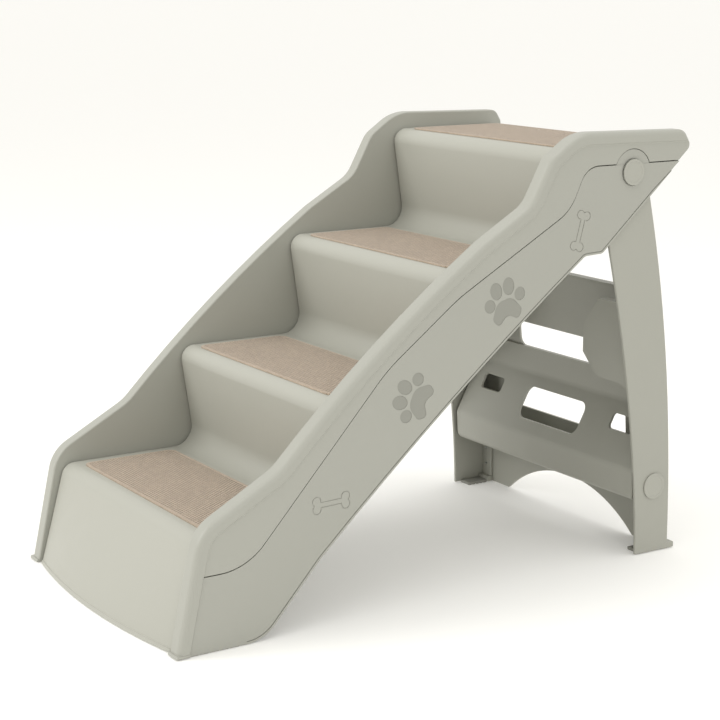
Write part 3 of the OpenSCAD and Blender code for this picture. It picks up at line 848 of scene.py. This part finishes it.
def makeMat(number):
    size = {"corner": 0.010, "binding": 0.0020, "edgeRound": 0.0007, "bindingRise": 0.0001,
            "stepWidth": 0.0005, "stepDepth": 0.0003}
    low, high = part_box("tread_mat_%d" % number)
    leaveEdit()
    bpy.ops.mesh.primitive_plane_add(size=1, location=(0, 0, 0))
    mat = bpy.context.object
    mat.name = mat.data.name = "tread_mat_%d_cloth" % number
    bpy.ops.object.mode_set(mode="EDIT")
    bpy.ops.transform.resize(value=(high.x - low.x, high.y - low.y, 1))
    bpy.ops.transform.translate(value=((low.x + high.x) / 2, (low.y + high.y) / 2, low.z + 0.0001))
    bpy.ops.mesh.bevel(offset=size["corner"], segments=8, affect="VERTICES")
    bpy.ops.mesh.select_all(action="SELECT")
    bpy.ops.mesh.extrude_region_move(TRANSFORM_OT_translate={"value": (0, 0, high.z - low.z - 0.0003)})
    bpy.ops.mesh.select_all(action="SELECT")
    bpy.ops.mesh.normals_make_consistent(inside=False)
    selectWhere(mat, "faces", lambda middle, face: face.normal.z > 0.9)
    bpy.ops.mesh.inset(thickness=size["edgeRound"], depth=0)
    bpy.ops.mesh.inset(thickness=size["binding"], depth=size["bindingRise"])
    bpy.ops.mesh.inset(thickness=size["stepWidth"], depth=-size["stepDepth"])
    selectWhere(mat, "edges", lambda middle, edge: abs(middle.z - (high.z - 0.0002)) < 0.00002
                and len(edge.link_faces) == 2 and any(abs(face.normal.z) < 0.1 for face in edge.link_faces))
    bpy.ops.mesh.bevel(offset=size["edgeRound"] * 0.9, segments=3, profile=0.5, affect="EDGES",
                       clamp_overlap=True)
    leaveEdit()
    smoothPiece(mat, 50)
    settle(mat, "mat", "stairs", "mat_fabric", "tread_mat_%d" % number)
    mat.data.materials.append(finishes["binding"])
    inner = max(mat.data.polygons, key=lambda polygon: polygon.area if polygon.normal.z > 0.9 else 0)
    for polygon in mat.data.polygons:
        if polygon.index != inner.index:
            polygon.material_index = 1


for number in (1, 2, 3, 4):
    makeMat(number)
print("mats made")


# ---- leg frame

# As shares of the hinge's height: lower edge of the rear web's slot, top of the cross panel's slope
frameLow, frameMiddle = 0.446, 0.376


def legFrontY(share):
    return hingeY + 0.026 - 0.075 * (1 - share) ** 1.7


def legBackY(share):
    return footY - 0.053 * (1 - share) ** 2.2


def shareAt(height):
    return 1 - height / hingeZ


def legEdge(edgeAt, start, count=16):
    # points down one edge of a leg, from a share of its height to the floor
    foot = shareAt(stair["floorGap"])
    drops = [(foot - start) * step / count for step in range(count + 1)]
    return [Vector((edgeAt(start + drop), hingeZ * (1 - start - drop))) for drop in drops]


def makeLeg():
    size = {"edgeRound": 0.0014, "headRadius": 0.025, "frontStart": 0.17, "backStart": 0.07, "lugTurn": 111,
            "lugStart": 0.010, "lipReach": 0.0095, "lipHeight": 0.008, "lipWidth": 0.020, "hubRadius": 0.012,
            "bossRadius": 0.010, "wingWidth": 0.086, "wingLow": 0.455, "wingHigh": 0.66, "wingWall": 0.003,
            "flare": 0.026, "slant": (0.026, 0.034), "ledgeDepth": 0.014,
            "tabWall": 0.0028, "tabBack": 0.0032}
    head = [Vector(onCircle(hingePlace, size["headRadius"], 7.5 * step)) for step in range(25)]
    sides = legEdge(legFrontY, size["frontStart"]) + legEdge(legBackY, size["backStart"])[::-1]
    leg = sideSlab("right_leg_skin", sides + head, legInnerX, legX)
    combine(leg, disc("pinHole", hingePlace, stair["pinBore"], legInnerX - cutPast, legX + faceCut, 48))
    softEdges(leg, size["edgeRound"], 3, 40)
    # lug that meets the stop post
    side = stair["stopReach"] * math.sin(math.radians(21)) - 0.0053
    lugPoints = [(size["lugStart"], -side), (stair["stopReach"], -side, 0.0015),
                 (stair["stopReach"], side, 0.0015), (size["lugStart"], side)]
    turn = math.radians(size["lugTurn"])
    lug = sideSlab("lug", smoothOutline([(*turned(point[:2], hingePlace, turn), *point[2:])
                                         for point in lugPoints]), legInnerX + overlap, legX - overlap)
    # lip round the back of the foot
    near, far = footY - 0.012, footY + size["lipReach"]
    lip = sideSlab("lip", smoothOutline([(near, 0.001), (far, 0.001, 0.0012), (far, size["lipHeight"], 0.0015),
                                         (near, size["lipHeight"])], 4),
                   legInnerX - size["lipWidth"], legX + 0.0001)
    fineEdges(lip, 0.0006)
    # hub round the hinge pin and boss round the cross pin
    hub = disc("hub", hingePlace, size["hubRadius"], innerX + stair["wall"] + 0.0003, legInnerX + faceCut, 64)
    combine(hub, disc("bore", hingePlace, stair["pinBore"], innerX - cutPast, legX + cutPast, 48))
    fineEdges(hub, 0.0006)
    boss = disc("boss", crossPlace, size["bossRadius"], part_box("cross_panel")[1].x, legInnerX + faceCut, 64)
    fineEdges(boss, 0.0006)
    # wing: a curved stiffener that stands inwards from the leg, with a swept corner below
    low, high = size["wingLow"] * hingeZ, size["wingHigh"] * hingeZ
    wingY = hingeY + 0.013
    inner, root = legInnerX - size["wingWidth"], legInnerX + 0.001
    slant = Vector((inner + size["slant"][0], high))
    outline = [Vector((root, low - 0.010)), Vector((root, high)), slant]
    outline += roundCorner(slant, Vector((inner, high - size["slant"][1])), Vector((inner, low)), 0.020, 6)
    outline.append(Vector((inner, low + size["flare"])))
    for step in range(1, 13):
        rise = math.sin(math.radians(90 - 90 * step / 12))
        outline.append(Vector((inner + size["flare"] * (1 - rise) * 0.98, low + size["flare"] * 0.98 * rise)))
    outline += [Vector((root - 0.022, low - 0.001)), Vector((root - 0.010, low - 0.004))]
    wing = backSlab("wing", outline[::-1], wingY, wingY + size["wingWall"])
    near, far = wingY + 0.0005, wingY + size["ledgeDepth"]
    ledge = sideSlab("ledge", smoothOutline([
        (near, high - 0.0032), (far, high - 0.0032, 0.0008), (far, high - overlap, 0.0008),
        (near, high - overlap)], 4), inner + 0.028, root)
    combine(wing, ledge, "UNION")
    softEdges(wing, 0.0009, 3, 40)
    # screw tabs against the rear web
    tabs = []
    front, back = size["tabBack"] + size["tabWall"], size["tabBack"]
    for first, last in ((0.008, 0.056), (frameLow * hingeZ + 0.010, high - 0.012)):
        points = [Vector((legBackY(shareAt(height)) - lead, height))
                  for height, lead in ((first, front), (last, front), (last, back), (first, back))]
        tab = sideSlab("tab", points, legInnerX - 0.020, legInnerX + 0.001)
        fineEdges(tab)
        tabs.append(tab)
    joinPieces(leg, [lug, lip, hub, boss, wing] + tabs)
    smoothPiece(leg)
    return leg


settlePair(makeLeg(), "left_leg_skin", "frame", "leg_frame", "frame_plastic", "leg")
print("legs made")


def makeRearWeb():
    size = {"wall": 0.003, "rows": 28, "slot": (0.093, frameLow, 0.515), "window": (0.110, 0.262, 0.396),
            "corner": 0.010, "flange": 0.012, "archHeight": 0.048, "archHalf": 0.125, "edgeRound": 0.0009}
    outer = []
    for step in range(size["rows"] + 1):
        height = stair["floorGap"] + (webTop - stair["floorGap"]) * step / size["rows"]
        outer.append(Vector((legBackY(shareAt(height)), height)))
    wall = shiftLine(outer, -size["wall"])
    wall[0].y = outer[0].y
    flangeY, flangeZ = outer[-1].x - size["flange"], webTop - size["wall"]
    flange = [outer[-1], Vector((flangeY, webTop)), Vector((flangeY, flangeZ)), Vector((wall[-1].x, flangeZ))]
    points = outer[:-1] + flange + [point for point in reversed(wall) if point.y < flangeZ - overlap]
    web = sideSlab("rear_web_skin", points, -legInnerX + 0.0001, legInnerX - 0.0001, 8)
    cutFrom, cutTo = footY - 0.08, footY + 0.02
    for label in ("slot", "window"):
        half, low, high = size[label]
        combine(web, backSlab(label, windowOutline(-half, half, low * hingeZ, high * hingeZ, size["corner"]),
                              cutFrom, cutTo))
    radius = (size["archHalf"] ** 2 + size["archHeight"] ** 2) / (2 * size["archHeight"])
    reach = math.asin(size["archHalf"] / radius) * 1.08
    angles = [-reach + 2 * reach * step / 40 for step in range(41)]
    arch = [Vector((radius * math.sin(angle), size["archHeight"] - radius + radius * math.cos(angle)))
            for angle in angles]
    arch += [Vector((arch[-1].x, underFloor)), Vector((arch[0].x, underFloor))]
    combine(web, backSlab("arch", arch, cutFrom, cutTo))
    softEdges(web, size["edgeRound"], 3, 50)
    smoothPiece(web)
    settle(web, "frame", "leg_frame", "frame_plastic", "rear_web")


makeRearWeb()
print("rear web made")


def makeCrossPanel():
    size = {"wall": 0.003, "grip": (0.058, 0.301, 0.019), "window": (0.042, 0.018, 0.050), "endRound": 0.016,
            "low": 0.060, "gripCorner": 0.011, "windowCorner": 0.005, "edgeRound": 0.0009}
    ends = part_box("cross_panel")[1].x
    slotLow, panelTop = frameLow * hingeZ, frameMiddle * hingeZ
    frontFace = hingeY + 0.024
    topFace = legBackY(shareAt(slotLow)) - 0.006
    outline = smoothOutline(
        [(frontFace + 0.020, 0.062), (frontFace + 0.002, 0.066, 0.008), (frontFace, 0.102, 0.014),
         (topFace, panelTop, 0.016), (topFace, slotLow)], 10, closed=False)
    band = outline + shiftLine(outline, size["wall"])[::-1]
    panel = sideSlab("cross_panel_skin", band, -ends, ends, 12)
    # its two lower front corners are rounded off
    corner = size["endRound"]
    for side in (1, -1):
        arc = []
        for step in range(11):
            angle = math.radians(90 * step / 10)
            arc.append(Vector((side * (ends - corner) + side * corner * math.sin(angle),
                               size["low"] + corner - corner * math.cos(angle))))
        cutter = arc + [Vector((side * (ends + cutPast), arc[-1].y)),
                        Vector((side * (ends + cutPast), size["low"] - cutPast)),
                        Vector((arc[0].x, size["low"] - cutPast))]
        combine(panel, backSlab("corner", cutter, frontFace - 0.02, frontFace + 0.010))
    # hand hole, with a small window on each side of it
    grip, middle, halfHeight = size["grip"]
    middle = middle * hingeZ
    width, tall, gap = size["window"]
    holes = [windowOutline(-grip, grip, middle - halfHeight, middle + halfHeight, size["gripCorner"])]
    for side in (1, -1):
        near, far = sorted((side * (grip + gap), side * (grip + gap + width)))
        holes.append(windowOutline(near, far, middle, middle + tall, size["windowCorner"]))
    for hole in holes:
        combine(panel, backSlab("hole", hole, frontFace - 0.03, topFace + 0.02))
    softEdges(panel, size["edgeRound"], 3, 40)
    caps = []
    for side in (1, -1):
        cap = sideSlab("cap", smoothOutline(
            [(frontFace + 0.004, 0.068, 0.006), (frontFace + 0.0028, 0.102, 0.010),
             (topFace + 0.001, panelTop, 0.010), (topFace + 0.001, slotLow - 0.001),
             (topFace + 0.003, slotLow - 0.001), (topFace + 0.003, 0.064)], 6),
            side * (ends - 0.0034), side * (ends - 0.0006))
        fineEdges(cap)
        caps.append(cap)
    joinPieces(panel, caps)
    smoothPiece(panel)
    settle(panel, "frame", "leg_frame", "frame_plastic", "cross_panel")


makeCrossPanel()
print("cross panel made")


# ---- hinge caps, washers, nuts, screws and feet

caps = {
    "hinge": {"radius": 0.0148, "shank": 0.005, "place": hingePlace, "body": "stairs"},
    "cross": {"radius": 0.0155, "shank": 0.004, "place": crossPlace, "body": "leg_frame"},
}


def makeCap(label):
    # a round head with a soft rim and a shallow dished face
    size = {"headHeight": 0.002, "rimWidth": 0.0026, "dishSlope": 0.0006, "dishDepth": 0.0004, **caps[label]}
    low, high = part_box("right_%s_pin" % label)
    headX = high.x - size["headHeight"]
    cap = disc("right_%s_cap" % label, size["place"], size["radius"], headX, high.x, 72)
    pickPiece(cap, edit=True)
    selectWhere(cap, "faces", lambda middle, face: face.normal.x > 0.99)
    bpy.ops.mesh.inset(thickness=size["rimWidth"])
    bpy.ops.mesh.inset(thickness=size["dishSlope"], depth=-size["dishDepth"])
    leaveEdit()
    softEdges(cap, 0.0006, 3, 40)
    pin = disc("shank", size["place"], size["shank"], low.x, headX + 0.0005, 40)
    fineEdges(pin)
    joinPieces(cap, [pin])
    return smoothPiece(cap)


for label in caps:
    settlePair(makeCap(label), "left_%s_cap" % label, "cap", caps[label]["body"],
               "cap_plastic", label + "_pin")


def makeRing(name, node):
    bore = 0.005
    low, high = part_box(node)
    ring = disc(name, hingePlace, (high.y - low.y) / 2, low.x, high.x, 48)
    combine(ring, disc("bore", hingePlace, bore, low.x - 0.005, high.x + 0.005, 48))
    fineEdges(ring, 0.0003)
    return smoothPiece(ring)


for name, node, finish, slot in (("hinge_ring", "hinge_washer", "nylon", "washer_plastic"),
                                 ("push_nut", "pin_nut", "steel", "steel")):
    settlePair(makeRing("right_" + name, "right_" + node), "left_" + name, finish, "stairs", slot, node)


screw = {"headRadius": 0.004, "headHeight": 0.002, "shankRadius": 0.002, "length": 0.009, "point": 0.35}


def makeScrew():
    # pan head with a cross recess, lying along X with its head towards +X and its seat at the origin
    headRadius, headHeight = screw["headRadius"], screw["headHeight"]
    piece = disc("screwModel", (0, 0), headRadius, 0, headHeight, 28)
    softEdges(piece, headHeight * 0.42, 3, 40)
    for turn in (0, 90):
        leaveEdit()
        bpy.ops.mesh.primitive_cube_add(
            size=1, location=(headHeight, 0, 0), rotation=(math.radians(turn), 0, 0),
            scale=(headHeight * 0.9, headRadius * 1.15, headRadius * 0.24))
        recess = bpy.context.object
        bpy.ops.object.transform_apply(location=True, rotation=True, scale=True)
        leaveEdit()
        combine(piece, recess)
    shank = disc("shank", (0, 0), screw["shankRadius"], -screw["length"], overlap, 16)
    pickPiece(shank, edit=True)
    selectWhere(shank, "faces", lambda middle, face: face.normal.x < -0.9)
    bpy.ops.transform.resize(value=(1, screw["point"], screw["point"]), center_override=(0, 0, 0))
    leaveEdit()
    joinPieces(piece, [shank])
    return smoothPiece(piece)


def copyScrews(name, model, turns):
    # turns hold (turn about Z in degrees, place of the seat)
    copies = []
    for degrees, place in turns:
        pickPiece(model)
        bpy.ops.object.duplicate(linked=False)
        copy = bpy.context.object
        copy.rotation_euler = (0, 0, math.radians(degrees))
        copy.location = place
        bpy.ops.object.transform_apply(location=True, rotation=True, scale=True)
        copies.append(copy)
    made = joinPieces(copies[0], copies[1:])
    made.name = made.data.name = name
    return made


def screwBoxes(node):
    # lowest and highest corner of each loose solid of a screw node
    source = frame["nodes"][node]
    leaveEdit()
    shape = bmesh.new()
    shape.from_mesh(source.data)
    bmesh.ops.remove_doubles(shape, verts=shape.verts, dist=0.00001)
    boxes, left = [], set(shape.verts)
    while left:
        stack, island = [left.pop()], []
        while stack:
            vert = stack.pop()
            island.append(vert.co.copy())
            for edge in vert.link_edges:
                other = edge.other_vert(vert)
                if other in left:
                    left.remove(other)
                    stack.append(other)
        low = Vector([min(co[axis] for co in island) for axis in range(3)])
        high = Vector([max(co[axis] for co in island) for axis in range(3)])
        boxes.append((low, high))
    shape.free()
    return boxes


def sidewaysScrew(low, high, outwards):
    # a screw along X, with its head away from the middle of the stairs or towards it
    middle = (low + high) / 2
    if (middle.x > 0) == outwards:
        return 0, (high.x - screw["headHeight"], middle.y, middle.z)
    return 180, (low.x + screw["headHeight"], middle.y, middle.z)


screwModel = makeScrew()
for part, body in (("step", "stairs"), ("side_panel", "stairs"), ("leg", "leg_frame")):
    turns = []
    for low, high in screwBoxes(part + "_screws"):
        middle = (low + high) / 2
        turns.append((90, (middle.x, legBackY(shareAt(middle.z)) + 0.0001, middle.z)) if part == "leg"
                     else sidewaysScrew(low, high, part == "step"))
    settle(copyScrews(part + "_screw_set", screwModel, turns), "steel", body, "steel", part + "_screws")
bpy.data.objects.remove(screwModel, do_unlink=True)


def makeFoot(name, node):
    # rubber pad with rounded corners and shallow cross grooves underneath
    size = {"corner": 0.0012, "grooves": 4, "grooveHalf": 0.0008, "grooveDepth": 0.0008, "edgeRound": 0.0005}
    low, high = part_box(node)
    pad = sideSlab(name, smoothOutline([(low.y, low.z, size["corner"]), (high.y, low.z, size["corner"]),
                                        (high.y, high.z), (low.y, high.z)], 3), low.x, high.x)
    for step in range(size["grooves"]):
        place = low.y + (high.y - low.y) * (step + 1) / (size["grooves"] + 1)
        groove = windowOutline(place - size["grooveHalf"], place + size["grooveHalf"],
                               low.z - faceCut, low.z + size["grooveDepth"])
        combine(pad, sideSlab("groove", groove, low.x - faceCut, high.x + faceCut))
    softEdges(pad, size["edgeRound"], 2, 50)
    return smoothPiece(pad)


for part, body in (("front", "stairs"), ("rear", "leg_frame")):
    pad = makeFoot("right_%s_pad" % part, "right_%s_foot" % part)
    settlePair(pad, "left_%s_pad" % part, "rubber", body, "rubber", part + "_foot")
print("pins, screws and feet made")


# ---- floor, light and camera

def makeStudio():
    studio = {"floorTone": (0.86, 0.855, 0.835), "floorGlow": 0.16, "floorRadius": 60,
              "worldTone": (0.955, 0.945, 0.915), "worldStrength": 1.0,
              "lens": 88.34, "cameraPlace": (1.688, -1.0636, 0.6684), "cameraTurn": (77.75, 0, 57.53),
              "aim": (0, 0, 0.25),      # what the lamps point at
              "lamps": {"key": ((-0.9, -2.3, 1.6), 1.8, 27),        # place, width and power
                        "top": ((0.2, 0.1, 2.6), 2.2, 16),
                        "side": ((2.4, -0.2, 0.9), 1.6, 5.5)}}
    leaveEdit()
    bpy.ops.mesh.primitive_circle_add(vertices=64, radius=studio["floorRadius"], fill_type="NGON",
                                      location=(0, 0, 0))
    floor = bpy.context.object
    floor.name = "floor"
    ground = bpy.data.materials.new("paleFloor")
    ground.use_nodes = True
    shader = ground.node_tree.nodes["Principled BSDF"]
    shader.inputs["Base Color"].default_value = (*studio["floorTone"], 1)
    shader.inputs["Roughness"].default_value = 0.9
    shader.inputs["Specular IOR Level"].default_value = 0.1
    shader.inputs["Emission Color"].default_value = (*studio["worldTone"], 1)
    shader.inputs["Emission Strength"].default_value = studio["floorGlow"]
    floor.data.materials.append(ground)
    world = bpy.data.worlds.new("studio")
    bpy.context.scene.world = world
    world.use_nodes = True
    background = world.node_tree.nodes["Background"]
    background.inputs["Color"].default_value = (*studio["worldTone"], 1)
    background.inputs["Strength"].default_value = studio["worldStrength"]
    for name, (place, size, power) in studio["lamps"].items():
        data = bpy.data.lights.new(name, "AREA")
        data.shape = "DISK"
        data.size = size
        data.energy = power
        lamp = bpy.data.objects.new(name, data)
        bpy.context.scene.collection.objects.link(lamp)
        lamp.location = place
        aim = Vector(studio["aim"]) - Vector(place)
        lamp.rotation_euler = aim.to_track_quat("-Z", "Y").to_euler()
    data = bpy.data.cameras.new("camera")
    data.lens = studio["lens"]
    data.sensor_width = 36
    camera = bpy.data.objects.new("camera", data)
    bpy.context.scene.collection.objects.link(camera)
    camera.location = studio["cameraPlace"]
    camera.rotation_euler = [math.radians(angle) for angle in studio["cameraTurn"]]
    bpy.context.scene.camera = camera
    bpy.context.scene.view_settings.view_transform = "Standard"


makeStudio()
print("studio made")
